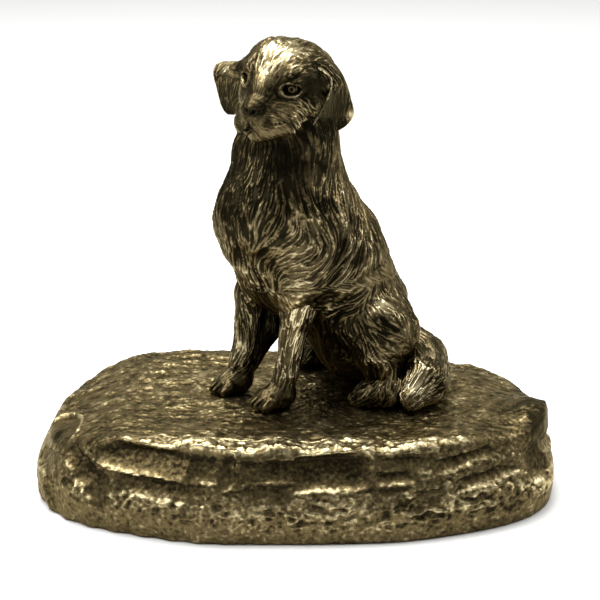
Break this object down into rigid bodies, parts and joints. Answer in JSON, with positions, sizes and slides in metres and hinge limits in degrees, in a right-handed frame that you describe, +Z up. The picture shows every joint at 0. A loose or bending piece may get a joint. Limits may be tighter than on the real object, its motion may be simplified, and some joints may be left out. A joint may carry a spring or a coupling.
{
  "type": "dog figurine",
  "caption": "Seated retriever statuette in patinated bronze finish on an oval rock base with a felt-covered underside.",
  "frame": {"origin": "middle of the underside's bounding box, on the surface the figurine stands on", "axes": "+Z up, +X along the length of the rock base, -Y towards the front that the dog faces across"},
  "size_m": [0.1564, 0.0966, 0.1344],
  "materials": {
    "bronze": "cast bronze, dark olive-brown patina in the fur, rubbed pale gold on the high points",
    "rock_bronze": "rough cast bronze, hammered top, dark patina in the recesses, rubbed ridges",
    "steel": "plain bright fixings, hidden inside",
    "felt": "dark green baize"
  },
  "bodies": {
    "root": {"felt_pad": "felt", "rock_base": "rock_bronze", "dog_torso": "bronze", "dog_head": "bronze", "ear_left": "bronze", "ear_right": "bronze", "foreleg_left": "bronze", "foreleg_right": "bronze", "hind_paw_left": "bronze", "hind_paw_right": "bronze", "tail": "bronze", "seat_stud": "steel", "seat_washer": "steel", "seat_nut": "steel", "forepaw_pin_left": "steel", "forepaw_pin_right": "steel", "neck_pin": "steel"}
  },
  "joints": []
}
